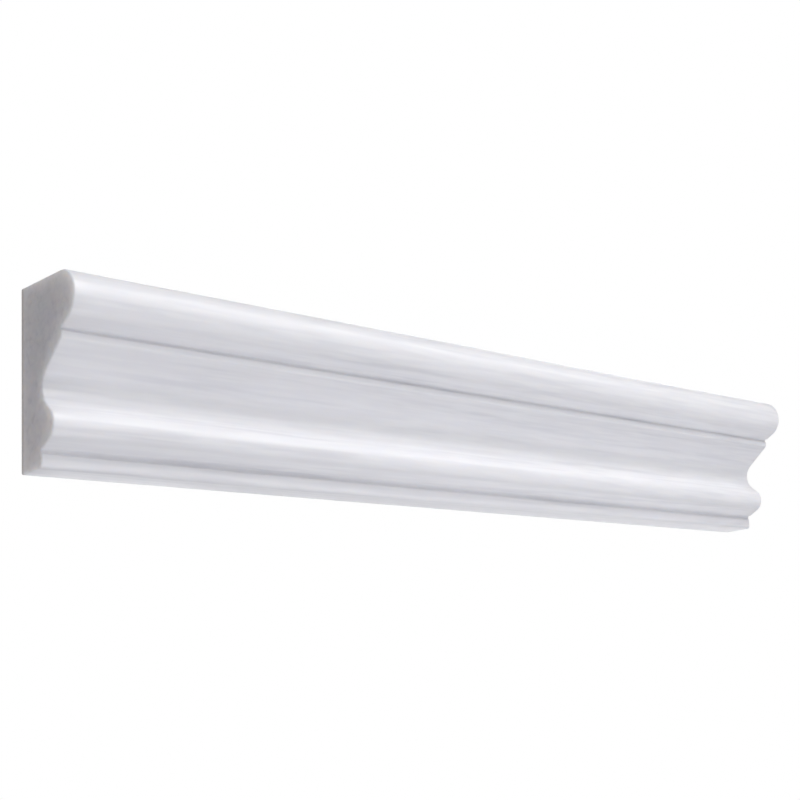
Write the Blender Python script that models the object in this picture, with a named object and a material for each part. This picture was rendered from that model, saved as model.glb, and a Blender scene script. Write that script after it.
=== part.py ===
# Marble moulding: one straight length of solid stone trim, sawn square at both ends.
# Units are metres. X runs along the length, Z is up and the worked front faces -Y.
# The origin is the middle of the flat back face, which is the face that goes against the wall.

import math

import bmesh
import bpy
from mathutils import Vector

# Overall size
LENGTH = 0.305

# Base: the plain upright fillet at the foot
BASE_PROJECTION = 0.0108
BASE_HEIGHT = 0.0049
BASE_ARRIS_RADIUS = 0.0009
UNDERSIDE_RISE = 0.0005

# Bead: the small round above the base
BEAD_OUT = 0.0062
BEAD_RADIUS = 0.0046

# Cove: the hollow above the bead
COVE_SINK = 0.0057
COVE_RADIUS = 0.0056
COVE_JOIN_ANGLE = math.radians(50.0)

# Ramp: the straight slope from the cove out to the quirk
RAMP_RISE = 0.0110

# Quirk: the narrow upright band below the nose
QUIRK_OUT = 0.0097
QUIRK_HEIGHT = 0.0023
QUIRK_ARRIS_RADIUS = 0.0006

# Nose: the large round at the top
NOSE_OUT = 0.0065
NOSE_RADIUS = 0.0070

# The bead and the nose are both undercut at this slope
UNDERCUT_SLOPE = math.radians(30.0)

# Finest facet on the round members
FACET_ANGLE = math.radians(4.0)
FEWEST_FACETS = 5
SMOOTH_ANGLE = math.radians(30.0)

# Polished white marble
MARBLE_COLOUR = (0.82, 0.82, 0.85, 1.0)
MARBLE_ROUGHNESS = 0.28

RIGHT_ANGLE = math.pi / 2


def clear_scene():
    """Removes whatever the scene holds."""
    for item in list(bpy.data.objects):
        bpy.data.objects.remove(item, do_unlink=True)


def arc(centre, radius, start, end):
    """Points on an arc of the section, from one angle to another, both ends included."""
    facets = max(FEWEST_FACETS, math.ceil(abs(end - start) / FACET_ANGLE))
    points = []
    for step in range(facets + 1):
        angle = start + (end - start) * step / facets
        points.append(centre + radius * Vector((math.cos(angle), math.sin(angle))))
    return points


def rounded_corner(before, corner, after, radius):
    """Points of a round that takes the place of a sharp corner between two straight faces."""
    towards_before = (before - corner).normalized()
    towards_after = (after - corner).normalized()
    half_angle = towards_before.angle(towards_after) / 2
    centre = corner + (towards_before + towards_after).normalized() * radius / math.sin(half_angle)
    setback = radius / math.tan(half_angle)
    first = corner + towards_before * setback - centre
    last = corner + towards_after * setback - centre
    start = math.atan2(first.y, first.x)
    turn = first.angle_signed(last)
    return arc(centre, radius, start, start - turn)


def section():
    """Outline of the moulding as (projection from the back face, height) points.

    It starts at the foot of the back face, goes forward along the underside, up the
    worked front and back along the flat top.
    """
    # Projection of each member, from the one below it
    bead_front = BASE_PROJECTION + BEAD_OUT
    cove_back = bead_front - COVE_SINK
    quirk_face = cove_back + QUIRK_OUT
    nose_front = quirk_face + NOSE_OUT

    # Base, with its front arris eased
    back_foot = Vector((0.0, 0.0))
    base_foot = Vector((BASE_PROJECTION, UNDERSIDE_RISE))
    base_top = Vector((BASE_PROJECTION, BASE_HEIGHT))
    outline = [back_foot]
    outline += rounded_corner(back_foot, base_foot, base_top, BASE_ARRIS_RADIUS)
    outline.append(base_top)

    # Bead, sprung from the top of the base by its undercut
    bead_centre_projection = bead_front - BEAD_RADIUS
    bead_lift = math.tan(UNDERCUT_SLOPE) * (bead_centre_projection - BASE_PROJECTION)
    bead_centre_height = BASE_HEIGHT + bead_lift + BEAD_RADIUS / math.cos(UNDERCUT_SLOPE)
    bead_centre = Vector((bead_centre_projection, bead_centre_height))
    outline += arc(bead_centre, BEAD_RADIUS, UNDERCUT_SLOPE - RIGHT_ANGLE, COVE_JOIN_ANGLE)

    # Cove, reached from the bead by a short straight that touches both rounds
    straight_run = COVE_SINK - (BEAD_RADIUS + COVE_RADIUS) * (1 - math.cos(COVE_JOIN_ANGLE))
    straight_rise = straight_run / math.tan(COVE_JOIN_ANGLE)
    round_rise = (BEAD_RADIUS + COVE_RADIUS) * math.sin(COVE_JOIN_ANGLE)
    cove_centre = Vector((cove_back + COVE_RADIUS, bead_centre_height + straight_rise + round_rise))

    # Ramp, which leaves the cove where a line from the foot of the quirk touches it
    quirk_foot = Vector((quirk_face, cove_centre.y + RAMP_RISE))
    reach = quirk_foot - cove_centre
    touch_angle = math.atan2(reach.y, reach.x) + math.acos(COVE_RADIUS / reach.length)
    outline += arc(cove_centre, COVE_RADIUS, math.pi + COVE_JOIN_ANGLE, touch_angle)

    # Quirk, with the arris at its foot eased
    quirk_top = quirk_foot + Vector((0.0, QUIRK_HEIGHT))
    outline += rounded_corner(outline[-1], quirk_foot, quirk_top, QUIRK_ARRIS_RADIUS)
    outline.append(quirk_top)

    # Nose, sprung from the quirk by its undercut, round to the flat top
    nose_centre_projection = nose_front - NOSE_RADIUS
    nose_lift = math.tan(UNDERCUT_SLOPE) * (nose_centre_projection - quirk_face)
    nose_centre_height = quirk_top.y + nose_lift + NOSE_RADIUS / math.cos(UNDERCUT_SLOPE)
    nose_centre = Vector((nose_centre_projection, nose_centre_height))
    outline += arc(nose_centre, NOSE_RADIUS, UNDERCUT_SLOPE - RIGHT_ANGLE, RIGHT_ANGLE)
    outline.append(Vector((0.0, nose_centre_height + NOSE_RADIUS)))
    return outline


def marble():
    """Polished white marble."""
    material = bpy.data.materials.new("white_marble")
    material.use_nodes = True
    shader = material.node_tree.nodes["Principled BSDF"]
    shader.inputs["Base Color"].default_value = MARBLE_COLOUR
    shader.inputs["Roughness"].default_value = MARBLE_ROUGHNESS
    shader.inputs["Metallic"].default_value = 0.0
    return material


def moulding():
    """The whole moulding: its section, extruded along the length."""
    outline = section()
    half_height = outline[-1].y / 2
    bm = bmesh.new()
    corners = [bm.verts.new((-LENGTH / 2, -point.x, point.y - half_height)) for point in outline]
    end_face = bm.faces.new(corners)
    run = bmesh.ops.extrude_face_region(bm, geom=[end_face], use_keep_orig=True)
    far_end = [part for part in run["geom"] if isinstance(part, bmesh.types.BMVert)]
    bmesh.ops.translate(bm, verts=far_end, vec=(LENGTH, 0.0, 0.0))
    bmesh.ops.recalc_face_normals(bm, faces=bm.faces)

    mesh = bpy.data.meshes.new("marble_moulding")
    bm.to_mesh(mesh)
    bm.free()
    mesh.shade_smooth()
    mesh.set_sharp_from_angle(angle=SMOOTH_ANGLE)
    mesh.materials.append(marble())
    piece = bpy.data.objects.new("marble_moulding", mesh)
    bpy.context.scene.collection.objects.link(piece)
    return piece


clear_scene()
moulding()
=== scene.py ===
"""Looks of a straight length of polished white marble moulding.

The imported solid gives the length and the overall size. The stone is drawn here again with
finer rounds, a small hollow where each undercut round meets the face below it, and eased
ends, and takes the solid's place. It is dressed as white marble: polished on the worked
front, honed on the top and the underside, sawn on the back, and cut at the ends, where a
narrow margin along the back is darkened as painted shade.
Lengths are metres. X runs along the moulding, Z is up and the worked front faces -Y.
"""

import logging
import math
from dataclasses import dataclass, replace
from enum import Enum
from typing import Any

import bmesh
import bpy
from mathutils import Matrix, Vector


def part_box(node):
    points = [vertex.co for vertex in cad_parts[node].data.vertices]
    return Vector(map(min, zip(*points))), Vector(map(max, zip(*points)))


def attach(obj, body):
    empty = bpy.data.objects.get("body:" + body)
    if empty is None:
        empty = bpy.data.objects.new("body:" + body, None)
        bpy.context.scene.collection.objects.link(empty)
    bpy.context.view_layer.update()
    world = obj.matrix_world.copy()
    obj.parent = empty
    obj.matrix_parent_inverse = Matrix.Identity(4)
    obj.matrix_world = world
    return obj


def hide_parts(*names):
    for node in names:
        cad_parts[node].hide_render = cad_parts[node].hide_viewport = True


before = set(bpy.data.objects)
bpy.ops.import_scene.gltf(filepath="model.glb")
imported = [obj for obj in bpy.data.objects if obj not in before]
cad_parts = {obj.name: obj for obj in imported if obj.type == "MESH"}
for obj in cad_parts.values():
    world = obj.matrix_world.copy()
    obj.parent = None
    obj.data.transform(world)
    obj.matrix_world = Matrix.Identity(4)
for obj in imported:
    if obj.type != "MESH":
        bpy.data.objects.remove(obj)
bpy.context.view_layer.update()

LOG = logging.getLogger("marble_moulding")
NODE = "marble_moulding"
BODY = "root"
RIGHT_ANGLE = math.pi / 2
MM = 0.001

Colour = tuple[float, float, float, float]
Triple = tuple[float, float, float]

WHITE: Colour = (1.0, 1.0, 1.0, 1.0)


@dataclass
class Value:
    """A node's output that takes part in shader sums."""

    tree: bpy.types.NodeTree
    socket: bpy.types.NodeSocket

    def math(self, operation: str, other: Any) -> "Value":
        """The result of a Math node that works on this value and another."""
        return Shading(self.tree).node("Math", {0: self, 1: other}, {"operation": operation})

    def __add__(self, other: Any) -> "Value":
        """This value plus another."""
        return self.math("ADD", other)

    def __radd__(self, other: Any) -> "Value":
        """Another value plus this one."""
        return self.math("ADD", other)

    def __mul__(self, other: Any) -> "Value":
        """This value times another."""
        return self.math("MULTIPLY", other)

    def __rmul__(self, other: Any) -> "Value":
        """Another value times this one."""
        return self.math("MULTIPLY", other)


@dataclass
class Shading:
    """A node tree that is being written."""

    tree: bpy.types.NodeTree

    def feed(self, slot: bpy.types.NodeSocket, term: Any) -> None:
        """Gives an input socket what it takes.

        Args:
            slot: the input to fill.
            term: a Value to link, or the plain number or colour to set.
        """
        if isinstance(term, Value):
            self.tree.links.new(term.socket, slot)
        else:
            slot.default_value = term

    def node(
        self,
        kind: str,
        sockets: dict[str | int, Any],
        settings: dict[str, str] | None = None,
        output: str | int = 0,
    ) -> Value:
        """Adds a node of any type.

        Args:
            kind: the node's type, without its ShaderNode prefix.
            sockets: what each input socket takes, by the socket's name or number.
            settings: the node's own properties, which are set first.
            output: name or number of the output that is handed back.

        Returns:
            The chosen output.
        """
        made = self.tree.nodes.new("ShaderNode" + kind)
        for name, setting in (settings or {}).items():
            setattr(made, name, setting)
        for name, term in sockets.items():
            self.feed(made.inputs[name], term)
        return Value(self.tree, made.outputs[output])

    def place(self) -> Value:
        """The point's Object coordinates."""
        return self.node("TexCoord", {}, output="Object")

    def along(self, axis: str, vector: Value) -> Value:
        """One of a vector's parts, by its axis letter."""
        return self.node("SeparateXYZ", {"Vector": vector}, output=axis)

    def ramp(self, value: Value, low: float, high: float) -> Value:
        """A smooth step from 0 at low to 1 at high."""
        sockets = {"Value": value, "From Min": low, "From Max": high}
        return self.node("MapRange", sockets, {"interpolation_type": "SMOOTHSTEP"})

    def blend(self, share: Value, first: Any, second: Any) -> Value:
        """Mixes two colours by a share from 0 to 1."""
        return self.node("Mix", {"Factor": share, 6: first, 7: second}, {"data_type": "RGBA"}, output=2)

    def noise(self, cell: Triple, detail: float = 0.0) -> Value:
        """Adds noise on Object coordinates.

        Args:
            cell: the length of its cells along X, Y and Z.
            detail: how many finer layers it has.

        Returns:
            The noise, from 0 to 1.
        """
        scale = tuple(1 / length for length in cell)
        counted = self.node("Mapping", {"Vector": self.place(), "Scale": scale}, {"vector_type": "POINT"})
        return self.node("TexNoise", {"Vector": counted, "Scale": 1.0, "Detail": detail, "Roughness": 0.5})


@dataclass(frozen=True)
class Marking:
    """One kind of marking in the marble, which shows where its own noise is high."""

    colour: Colour
    cell: Triple
    detail: float
    shows_from: float
    full_from: float
    strength: float

    def over(self, shading: Shading, ground: Any) -> Value:
        """Lays the marking over a colour.

        Args:
            shading: the material's node tree.
            ground: the stone's colour so far.

        Returns:
            The colour with the marking in it.
        """
        shown = shading.ramp(shading.noise(self.cell, self.detail), self.shows_from, self.full_from)
        return shading.blend(shown * self.strength, ground, self.colour)


@dataclass(frozen=True)
class StoneBody:
    """Marble all through: its ground, its markings, its crystals and the painted shade on it by the back."""

    ground: Colour
    markings: tuple[Marking, ...]
    crystal: Triple = (0.9 * MM, 0.9 * MM, 0.9 * MM)
    # Painted shade: a darker colour laid over a narrow margin along the back, standing in for the shade on
    # the ends' back arris.
    painted_shade_colour: Colour = (0.280, 0.274, 0.270, 1.0)
    painted_shade_reach: float = 2.0 * MM
    painted_shade_share: float = 0.0

    def colour(self, shading: Shading) -> Value:
        """Works out the stone's colour at each point.

        Args:
            shading: the material's node tree.

        Returns:
            The colour.
        """
        marked = self.ground
        for marking in self.markings:
            marked = marking.over(shading, marked)
        # Painted shade: the colour darkens over a narrow margin towards the back, for the shade on the back
        # arris.
        by_the_back = shading.ramp(shading.along("Y", shading.place()), -self.painted_shade_reach, 0.0)
        return shading.blend(by_the_back * self.painted_shade_share, marked, self.painted_shade_colour)


@dataclass(frozen=True)
class StoneSurface:
    """One finish of the marble: how smooth the tool left it and which way its marks run."""

    name: str
    body: StoneBody
    roughness: float
    unevenness: float
    mark_depth: float
    mark_cell: Triple
    translucency: float = 0.35
    depth_of_light: float = 1.2 * MM
    reach_of_colours: Triple = (1.0, 0.85, 0.70)
    refraction: float = 1.5

    def material(self) -> bpy.types.Material:
        """Makes the material.

        Returns:
            A Principled material on Object coordinates.
        """
        made = bpy.data.materials.new(self.name)
        made.use_nodes = True
        shading = Shading(made.node_tree)
        shader = made.node_tree.nodes["Principled BSDF"]
        shading.feed(shader.inputs["Base Color"], self.body.colour(shading))
        grain = shading.noise(self.body.crystal)
        shading.feed(shader.inputs["Roughness"], self.roughness + self.unevenness * grain)
        shader.inputs["IOR"].default_value = self.refraction
        shader.inputs["Subsurface Weight"].default_value = self.translucency
        shader.inputs["Subsurface Radius"].default_value = self.reach_of_colours
        shader.inputs["Subsurface Scale"].default_value = self.depth_of_light
        marks = shading.noise(self.mark_cell)
        bump = {"Height": marks, "Strength": 1.0, "Distance": self.mark_depth}
        shading.feed(shader.inputs["Normal"], shading.node("Bump", bump))
        return made


class Finish(Enum):
    """How a face of the stone was worked. Each value is the place of its material on the stone."""

    POLISHED = 0
    HONED = 1
    CUT = 2
    SAWN = 3


CLOUDS = Marking(
    colour=(0.770, 0.770, 0.796, 1.0),
    cell=(50.0 * MM, 18.0 * MM, 18.0 * MM),
    detail=2.0,
    shows_from=0.35,
    full_from=0.70,
    strength=0.70,
)
STREAKS = Marking(
    colour=(0.690, 0.690, 0.722, 1.0),
    cell=(90.0 * MM, 2.6 * MM, 2.6 * MM),
    detail=1.0,
    shows_from=0.45,
    full_from=0.75,
    strength=0.60,
)
FLECKS = Marking(
    colour=(0.860, 0.858, 0.872, 1.0),
    cell=(20.0 * MM, 1.5 * MM, 1.5 * MM),
    detail=1.0,
    shows_from=0.35,
    full_from=0.70,
    strength=0.60,
)
CLEAN_MARBLE = StoneBody(ground=(0.815, 0.812, 0.838, 1.0), markings=(CLOUDS, STREAKS, FLECKS))
# The cut ends get painted shade along the back, standing in for the shade on their back arris.
BACK_SHADED_MARBLE = replace(CLEAN_MARBLE, painted_shade_share=0.85)
# Duller grey of the sawn back, kept darker than the clean marble partly as painted shade on the back arris
# along each end.
DUSTY_AND_SHADED_MARBLE = StoneBody(
    ground=(0.700, 0.695, 0.705, 1.0),
    markings=(
        replace(CLOUDS, colour=(0.655, 0.652, 0.662, 1.0)),
        replace(STREAKS, colour=(0.610, 0.608, 0.625, 1.0)),
        replace(FLECKS, colour=(0.745, 0.742, 0.752, 1.0)),
    ),
)
SURFACES: dict[Finish, StoneSurface] = {
    Finish.POLISHED: StoneSurface(
        name="polished_marble",
        body=CLEAN_MARBLE,
        roughness=0.28,
        unevenness=0.06,
        mark_depth=0.016 * MM,
        mark_cell=(60.0 * MM, 2.8 * MM, 2.8 * MM),
    ),
    Finish.HONED: StoneSurface(
        name="honed_marble",
        body=CLEAN_MARBLE,
        roughness=0.36,
        unevenness=0.08,
        mark_depth=0.016 * MM,
        mark_cell=(50.0 * MM, 2.0 * MM, 2.0 * MM),
    ),
    Finish.CUT: StoneSurface(
        name="cut_marble",
        body=BACK_SHADED_MARBLE,
        roughness=0.50,
        unevenness=0.10,
        mark_depth=0.030 * MM,
        mark_cell=(1.0 * MM, 1.1 * MM, 15.0 * MM),
        translucency=0.90,
        depth_of_light=8.0 * MM,
    ),
    Finish.SAWN: StoneSurface(
        name="sawn_marble",
        body=DUSTY_AND_SHADED_MARBLE,
        roughness=0.70,
        unevenness=0.16,
        mark_depth=0.070 * MM,
        mark_cell=(90.0 * MM, 3.0 * MM, 1.4 * MM),
    ),
}


def on_round(centre: Vector, radius: float, angle: float) -> Vector:
    """Point of the section on a round, at an angle."""
    return centre + radius * Vector((math.cos(angle), math.sin(angle)))


@dataclass
class Pen:
    """Draws the section's outline as edges, one member after another.

    A round's facets turn by the facet angle, or by more where they would be shorter than the
    finest length.
    """

    bm: bmesh.types.BMesh
    tip: bmesh.types.BMVert
    facet: float = math.radians(2.5)
    finest: float = 0.15 * MM
    fewest_facets: int = 6

    @staticmethod
    def spot(point: Vector) -> Vector:
        """Where a (projection, height) point of the section lies in space."""
        return Vector((0.0, -point.x, point.y))

    def line_to(self, point: Vector) -> None:
        """Draws a straight member.

        Args:
            point: the (projection, height) point of the section where it ends.
        """
        made = bmesh.ops.extrude_vert_indiv(self.bm, verts=[self.tip])
        self.tip = made["verts"][0]
        self.tip.co = self.spot(point)

    def round_to(self, centre: Vector, sweep: float) -> None:
        """Draws a round member by swinging the tip about a centre.

        Args:
            centre: the round's centre, as a (projection, height) point.
            sweep: how far it turns, in radians, forwards and up being positive.
        """
        radius = (self.tip.co - self.spot(centre)).length
        facet = max(self.facet, self.finest / radius)
        steps = max(self.fewest_facets, math.ceil(abs(sweep) / facet))
        made = bmesh.ops.spin(
            self.bm, geom=[self.tip], cent=self.spot(centre), axis=(-1.0, 0.0, 0.0), angle=sweep, steps=steps
        )
        self.tip = next(part for part in made["geom_last"] if isinstance(part, bmesh.types.BMVert))

    def eased_corner(self, corner: Vector, after: Vector, radius: float) -> None:
        """Draws on to a corner and round it by an eased arris.

        Args:
            corner: the corner's own point, as if it were sharp.
            after: the point that the outline heads for next.
            radius: the arris's radius.
        """
        before = Vector((-self.tip.co.y, self.tip.co.z))
        back = (before - corner).normalized()
        ahead = (after - corner).normalized()
        half = back.angle(ahead) / 2
        centre = corner + (back + ahead).normalized() * radius / math.sin(half)
        turn = math.copysign(math.pi - 2 * half, ahead.cross(back))
        self.line_to(corner + back * radius / math.tan(half))
        self.round_to(centre, turn)


@dataclass
class Moulding:
    """The stone itself: its section's members from the foot up, its easings and its facets.

    A face belongs to the back, to an end or to the level sides when its normal leans that way
    by more than the matching share. All other faces are the polished front.
    """

    base_projection: float = 10.8 * MM
    base_height: float = 4.9 * MM
    base_arris: float = 1.2 * MM
    underside_rise: float = 0.5 * MM
    base_crease: float = 1.9 * MM
    base_crease_sweep: float = math.radians(165.0)
    bead_out: float = 6.2 * MM
    bead_radius: float = 4.6 * MM
    cove_sink: float = 5.7 * MM
    cove_radius: float = 5.6 * MM
    cove_join_angle: float = math.radians(50.0)
    ramp_rise: float = 11.0 * MM
    quirk_out: float = 9.7 * MM
    quirk_height: float = 2.3 * MM
    quirk_arris: float = 1.2 * MM
    quirk_crease: float = 1.4 * MM
    quirk_crease_sweep: float = math.radians(190.0)
    nose_out: float = 6.5 * MM
    nose_radius: float = 7.0 * MM
    undercut: float = math.radians(30.0)
    end_easing: float = 0.50 * MM
    easing_facets: int = 3
    long_run: float = 50.0 * MM
    lengthwise_cuts: int = 40
    smooth_angle: float = math.radians(40.0)
    back_lean: float = 0.5
    end_lean: float = 0.7
    level_lean: float = 0.9985
    fit: float = 0.05 * MM

    def outline(self, bm: bmesh.types.BMesh) -> None:
        """Draws the section, from the foot of the back up the worked front and back along the top.

        Args:
            bm: the mesh that receives the outline's edges.
        """
        # Projection of each member, from the one below it
        bead_front = self.base_projection + self.bead_out
        cove_back = bead_front - self.cove_sink
        quirk_face = cove_back + self.quirk_out
        nose_front = quirk_face + self.nose_out
        slope = math.tan(self.undercut)
        start_angle = self.undercut - RIGHT_ANGLE

        # Base, with its front arris eased
        foot = bm.verts.new((0.0, 0.0, 0.0))
        pen = Pen(bm, foot)
        base_top = Vector((self.base_projection, self.base_height))
        pen.eased_corner(Vector((self.base_projection, self.underside_rise)), base_top, self.base_arris)
        self.cut_crease(pen, base_top, self.base_crease, self.base_crease_sweep)

        # Bead, sprung from the top of the base by its undercut
        bead_projection = bead_front - self.bead_radius
        bead_run = bead_projection - self.base_projection
        bead_lift = slope * bead_run + self.bead_radius / math.cos(self.undercut)
        bead = Vector((bead_projection, self.base_height + bead_lift))
        pen.line_to(on_round(bead, self.bead_radius, start_angle))
        pen.round_to(bead, self.cove_join_angle - start_angle)

        # Cove, reached from the bead by a short straight that touches both rounds
        rounds = self.bead_radius + self.cove_radius
        straight_run = self.cove_sink - rounds * (1 - math.cos(self.cove_join_angle))
        straight_rise = straight_run / math.tan(self.cove_join_angle)
        cove_height = bead.y + straight_rise + rounds * math.sin(self.cove_join_angle)
        cove = Vector((cove_back + self.cove_radius, cove_height))
        cove_start = math.pi + self.cove_join_angle
        pen.line_to(on_round(cove, self.cove_radius, cove_start))

        # Ramp, which leaves the cove where a line from the foot of the quirk touches it
        quirk_foot = Vector((quirk_face, cove_height + self.ramp_rise))
        reach = quirk_foot - cove
        touch_angle = math.atan2(reach.y, reach.x) + math.acos(self.cove_radius / reach.length)
        pen.round_to(cove, touch_angle - cove_start)

        # Quirk, with the arris at its foot eased
        quirk_top = quirk_foot + Vector((0.0, self.quirk_height))
        pen.eased_corner(quirk_foot, quirk_top, self.quirk_arris)
        self.cut_crease(pen, quirk_top, self.quirk_crease, self.quirk_crease_sweep)

        # Nose, sprung from the quirk by its undercut, round to the flat top
        nose_projection = nose_front - self.nose_radius
        nose_lift = slope * (nose_projection - quirk_face) + self.nose_radius / math.cos(self.undercut)
        nose = Vector((nose_projection, quirk_top.y + nose_lift))
        pen.line_to(on_round(nose, self.nose_radius, start_angle))
        pen.round_to(nose, RIGHT_ANGLE - start_angle)
        pen.line_to(Vector((0.0, nose.y + self.nose_radius)))
        bmesh.ops.contextual_create(bm, geom=[pen.tip, foot])

    def cut_crease(self, pen: Pen, corner: Vector, width: float, sweep: float) -> None:
        """Draws the small hollow that the tool leaves where an undercut round meets a face.

        Args:
            pen: the section's pen, on the face below the corner.
            corner: where the face and the undercut would meet without the hollow.
            width: how much of the face and of the undercut it takes, together.
            sweep: how far its round turns, in radians; the further, the deeper.
        """
        first = corner - Vector((0.0, width / 2))
        last = corner + Vector((math.cos(self.undercut), math.sin(self.undercut))) * width / 2
        chord = last - first
        outward = Vector((chord.y, -chord.x)) / 2
        pen.line_to(first)
        pen.round_to((first + last) / 2 + outward / math.tan(sweep / 2), -sweep)

    def build(self) -> bpy.types.Object:
        """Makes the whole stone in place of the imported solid.

        Returns:
            The dressed piece, riding on the part's one body.
        """
        low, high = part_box(NODE)
        bm = bmesh.new()
        self.outline(bm)
        bmesh.ops.edgeloop_fill(bm, edges=bm.edges[:])
        bmesh.ops.translate(bm, verts=bm.verts[:], vec=(low[0], 0.0, low[2]))
        run = bmesh.ops.extrude_face_region(bm, geom=bm.faces[:], use_keep_orig=True)
        far_end = [part for part in run["geom"] if isinstance(part, bmesh.types.BMVert)]
        bmesh.ops.translate(bm, verts=far_end, vec=(high[0] - low[0], 0.0, 0.0))
        bmesh.ops.recalc_face_normals(bm, faces=bm.faces[:])
        self.ease_rims(bm, low[0], high[0])
        self.cut_lengthwise(bm)
        self.mark_finishes(bm)
        self.check_size(bm, low, high)
        piece = self.finish_piece(bm)
        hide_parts(NODE)
        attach(piece, BODY)
        return piece

    def on_rim(self, edge: bmesh.types.BMEdge, left: float, right: float) -> bool:
        """Tells whether an edge lies wholly in the plane of an end or of the back.

        Args:
            edge: the edge in question.
            left: X of the left end.
            right: X of the right end.

        Returns:
            True for the edges round both ends and round the back.
        """
        places = [vert.co for vert in edge.verts]
        in_left_end = all(abs(place.x - left) < self.fit for place in places)
        in_right_end = all(abs(place.x - right) < self.fit for place in places)
        in_back = all(abs(place.y) < self.fit for place in places)
        return in_left_end or in_right_end or in_back

    def ease_rims(self, bm: bmesh.types.BMesh, left: float, right: float) -> None:
        """Takes the sharpness off the edges round both ends and round the back.

        Args:
            bm: the stone's mesh.
            left: X of the left end.
            right: X of the right end.
        """
        bmesh.ops.bevel(
            bm,
            geom=[edge for edge in bm.edges if self.on_rim(edge, left, right)],
            offset=self.end_easing,
            offset_type="OFFSET",
            affect="EDGES",
            segments=self.easing_facets,
            profile=0.5,
            material=-1,
        )

    def cut_lengthwise(self, bm: bmesh.types.BMesh) -> None:
        """Divides the long runs, so that no face is as long as the stone."""
        long_runs = [edge for edge in bm.edges if edge.calc_length() > self.long_run]
        bmesh.ops.subdivide_edges(bm, edges=long_runs, cuts=self.lengthwise_cuts, use_grid_fill=True)

    def finish_of(self, normal: Vector) -> Finish:
        """Chooses a face's finish.

        Args:
            normal: the face's normal.

        Returns:
            The finish of the stone's side that the face belongs to.
        """
        if normal.y > self.back_lean:
            return Finish.SAWN
        if abs(normal.x) > self.end_lean:
            return Finish.CUT
        if abs(normal.z) > self.level_lean:
            return Finish.HONED
        return Finish.POLISHED

    def mark_finishes(self, bm: bmesh.types.BMesh) -> None:
        """Gives each face the finish of its side of the stone."""
        for face in bm.faces:
            face.material_index = self.finish_of(face.normal).value

    def check_size(self, bm: bmesh.types.BMesh, low: Any, high: Any) -> None:
        """Stops the script if the drawn stone isn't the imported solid's size.

        Args:
            bm: the stone's mesh.
            low: lower corner of the solid's box.
            high: upper corner of the solid's box.
        """
        for axis in range(3):
            places = [vert.co[axis] for vert in bm.verts]
            if abs(min(places) - low[axis]) > self.fit or abs(max(places) - high[axis]) > self.fit:
                raise ValueError(f"the stone doesn't fill the solid's box along axis {axis}")

    def finish_piece(self, bm: bmesh.types.BMesh) -> bpy.types.Object:
        """Turns the mesh into an object with its materials.

        Args:
            bm: the stone's mesh, which is freed.

        Returns:
            The object, at the origin.
        """
        mesh = bpy.data.meshes.new("marble_moulding_stone")
        bm.to_mesh(mesh)
        bm.free()
        for finish in Finish:
            mesh.materials.append(SURFACES[finish].material())
        mesh.shade_smooth()
        mesh.set_sharp_from_angle(angle=self.smooth_angle)
        piece = bpy.data.objects.new("marble_moulding_stone", mesh)
        bpy.context.scene.collection.objects.link(piece)
        return piece


@dataclass(frozen=True)
class Floor:
    """A plain pale floor well below the held stone, which the camera sees and the stone doesn't."""

    drop: float = 0.75
    radius: float = 6.5
    facets: int = 128
    colour: Colour = (0.35, 0.35, 0.36, 1.0)
    roughness: float = 0.9
    glow: float = 0.78

    def material(self) -> bpy.types.Material:
        """Makes the floor's material.

        Returns:
            A matt grey that glows a little, so that it looks evenly lit.
        """
        made = bpy.data.materials.new("pale_floor")
        made.use_nodes = True
        shader = made.node_tree.nodes["Principled BSDF"]
        shader.inputs["Base Color"].default_value = self.colour
        shader.inputs["Roughness"].default_value = self.roughness
        shader.inputs["Emission Color"].default_value = WHITE
        shader.inputs["Emission Strength"].default_value = self.glow
        return made

    def lay(self) -> bpy.types.Object:
        """Lays the floor.

        Returns:
            The floor's object, which throws no light on the stone.
        """
        bm = bmesh.new()
        bmesh.ops.create_circle(bm, cap_ends=True, radius=self.radius, segments=self.facets)
        bmesh.ops.translate(bm, verts=bm.verts[:], vec=(0.0, 0.0, -self.drop))
        mesh = bpy.data.meshes.new("pale_floor")
        bm.to_mesh(mesh)
        bm.free()
        mesh.materials.append(self.material())
        floor = bpy.data.objects.new("pale_floor", mesh)
        floor.visible_diffuse = False
        floor.visible_glossy = False
        bpy.context.scene.collection.objects.link(floor)
        return floor


@dataclass(frozen=True)
class Surround:
    """The surroundings: plain white to the camera, and softer to the stone that they light.

    The softer ones are brighter below, as over a pale floor. Their strength turns from one to
    the other between two heights of the direction, counted from -1 to 1.
    """

    tint: Colour = (0.95, 0.95, 1.0, 1.0)
    above: float = 0.25
    below: float = 0.45
    turns_from: float = 0.05
    turns_to: float = -0.15

    def light(self) -> None:
        """Makes the surroundings the scene's own."""
        world = bpy.data.worlds.new("white_studio")
        world.use_nodes = True
        bpy.context.scene.world = world
        world.node_tree.nodes.remove(world.node_tree.nodes["Background"])
        shading = Shading(world.node_tree)
        seen = shading.node("Background", {"Color": WHITE, "Strength": 1.0})
        height = shading.along("Z", shading.node("TexCoord", {}, output="Generated"))
        low_down = shading.ramp(height, self.turns_from, self.turns_to)
        strength = self.above + (self.below - self.above) * low_down
        lit = shading.node("Background", {"Color": self.tint, "Strength": strength})
        by_camera = shading.node("LightPath", {}, output="Is Camera Ray")
        mixed = shading.node("MixShader", {0: by_camera, 1: lit, 2: seen})
        shading.feed(world.node_tree.nodes["World Output"].inputs["Surface"], mixed)


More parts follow.
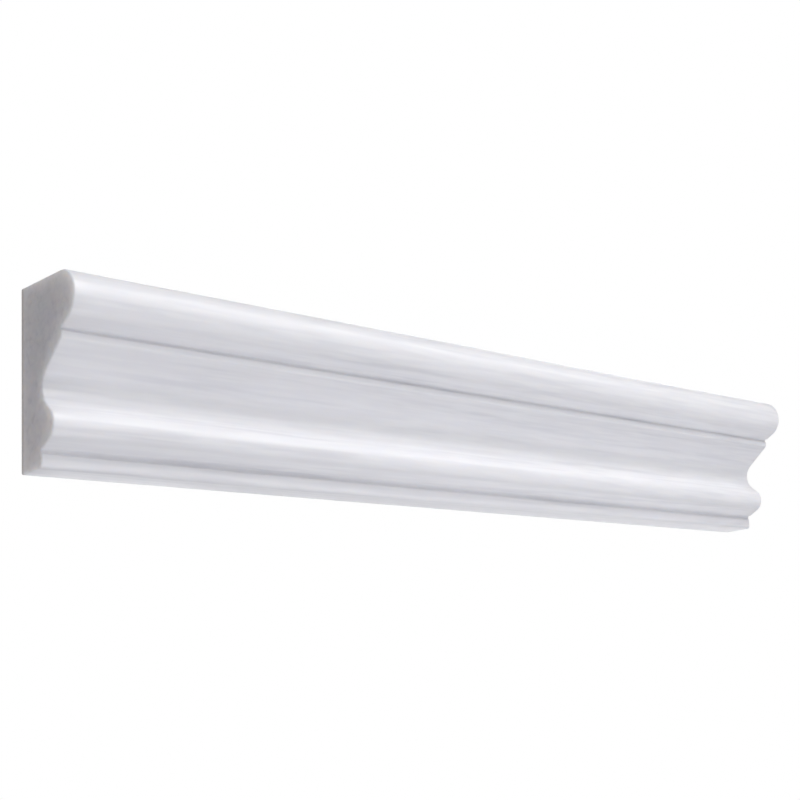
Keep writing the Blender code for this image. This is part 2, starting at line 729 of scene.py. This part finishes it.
@dataclass(frozen=True)
class Softbox:
    """A square soft panel light that looks at the stone.

    Its bearing is counted in degrees from straight in front, the right-hand side being
    positive, and its climb in degrees from level.
    """

    name: str
    bearing: float
    climb: float
    power: float
    distance: float = 1.10
    side: float = 0.60
    colour: Triple = (1.0, 1.0, 1.0)

    def place(self) -> Vector:
        """Works out where the light hangs.

        Returns:
            The middle of the panel.
        """
        bearing = math.radians(self.bearing)
        climb = math.radians(self.climb)
        level = Vector((math.sin(bearing), -math.cos(bearing), 0.0)) * math.cos(climb)
        return (level + Vector((0.0, 0.0, math.sin(climb)))) * self.distance

    def hang(self) -> bpy.types.Object:
        """Makes the light.

        Returns:
            The light's object, turned to the origin and unseen by the camera.
        """
        lamp = bpy.data.lights.new(self.name, "AREA")
        lamp.shape = "SQUARE"
        lamp.size = self.side
        lamp.energy = self.power
        lamp.color = self.colour
        light = bpy.data.objects.new(self.name, lamp)
        light.location = self.place()
        light.rotation_euler = (-self.place()).to_track_quat("-Z", "Y").to_euler()
        light.visible_camera = False
        bpy.context.scene.collection.objects.link(light)
        return light


@dataclass(frozen=True)
class Viewpoint:
    """The camera, where the photograph was taken from, with the photograph's own framing."""

    place: Triple = (-0.31800, -0.32483, -0.08235)
    turn: float = math.radians(42.254)
    tilt: float = math.radians(7.777)
    roll: float = math.radians(-2.143)
    focal_pixels: float = 1403.5
    centre_drop_pixels: float = 100.0
    image_pixels: float = 800.0
    sensor: float = 36.0

    def stand(self) -> bpy.types.Object:
        """Stands the camera and makes it the scene's own.

        Returns:
            The camera's object.
        """
        lens = bpy.data.cameras.new("camera")
        lens.sensor_width = self.sensor
        lens.lens = self.focal_pixels * self.sensor / self.image_pixels
        lens.shift_y = self.centre_drop_pixels / self.image_pixels
        camera = bpy.data.objects.new("camera", lens)
        upright = Matrix.Rotation(RIGHT_ANGLE + self.tilt, 4, "X")
        turned = Matrix.Rotation(-self.turn, 4, "Z") @ upright
        rolled = turned @ Matrix.Rotation(self.roll, 4, "Z")
        camera.matrix_world = Matrix.Translation(self.place) @ rolled
        bpy.context.scene.collection.objects.link(camera)
        bpy.context.scene.camera = camera
        return camera


@dataclass(frozen=True)
class Studio:
    """Everything round the stone: the floor, the surroundings, the lights and the camera."""

    floor: Floor = Floor()
    surround: Surround = Surround()
    viewpoint: Viewpoint = Viewpoint()
    softboxes: tuple[Softbox, ...] = (
        Softbox("key_softbox", 0.0, 50.0, 5.1, side=0.44),
        Softbox("front_softbox", 0.0, 30.0, 3.0),
        Softbox("right_high_softbox", 45.0, 40.0, 2.5),
        Softbox("right_low_softbox", 54.0, -35.0, 0.68, distance=0.90, side=0.50),
        Softbox("right_rear_softbox", 110.0, -45.0, 0.70, distance=0.80, side=0.44),
        Softbox("left_softbox", -96.0, -30.0, 0.86, colour=(1.0, 0.97, 0.93)),
        Softbox("low_softbox", 0.0, -58.0, 1.36, distance=0.70, side=0.40, colour=(0.95, 0.96, 1.0)),
        Softbox("right_back_softbox", 137.0, 12.0, 5.0, side=1.00),
        Softbox("back_softbox", 165.0, 0.0, 0.8),
    )

    def build(self) -> None:
        """Sets everything up, with colours shown as they are."""
        LOG.info("laid %s", self.floor.lay().name)
        self.surround.light()
        for softbox in self.softboxes:
            LOG.info("hung %s", softbox.hang().name)
        LOG.info("stood %s", self.viewpoint.stand().name)
        bpy.context.scene.view_settings.view_transform = "Standard"


def main() -> None:
    """Builds the stone and the studio."""
    logging.basicConfig(level=logging.INFO, format="%(message)s")
    stone = Moulding().build()
    LOG.info("built %s with %d faces", stone.name, len(stone.data.polygons))
    Studio().build()


if __name__ == "__main__":
    main()
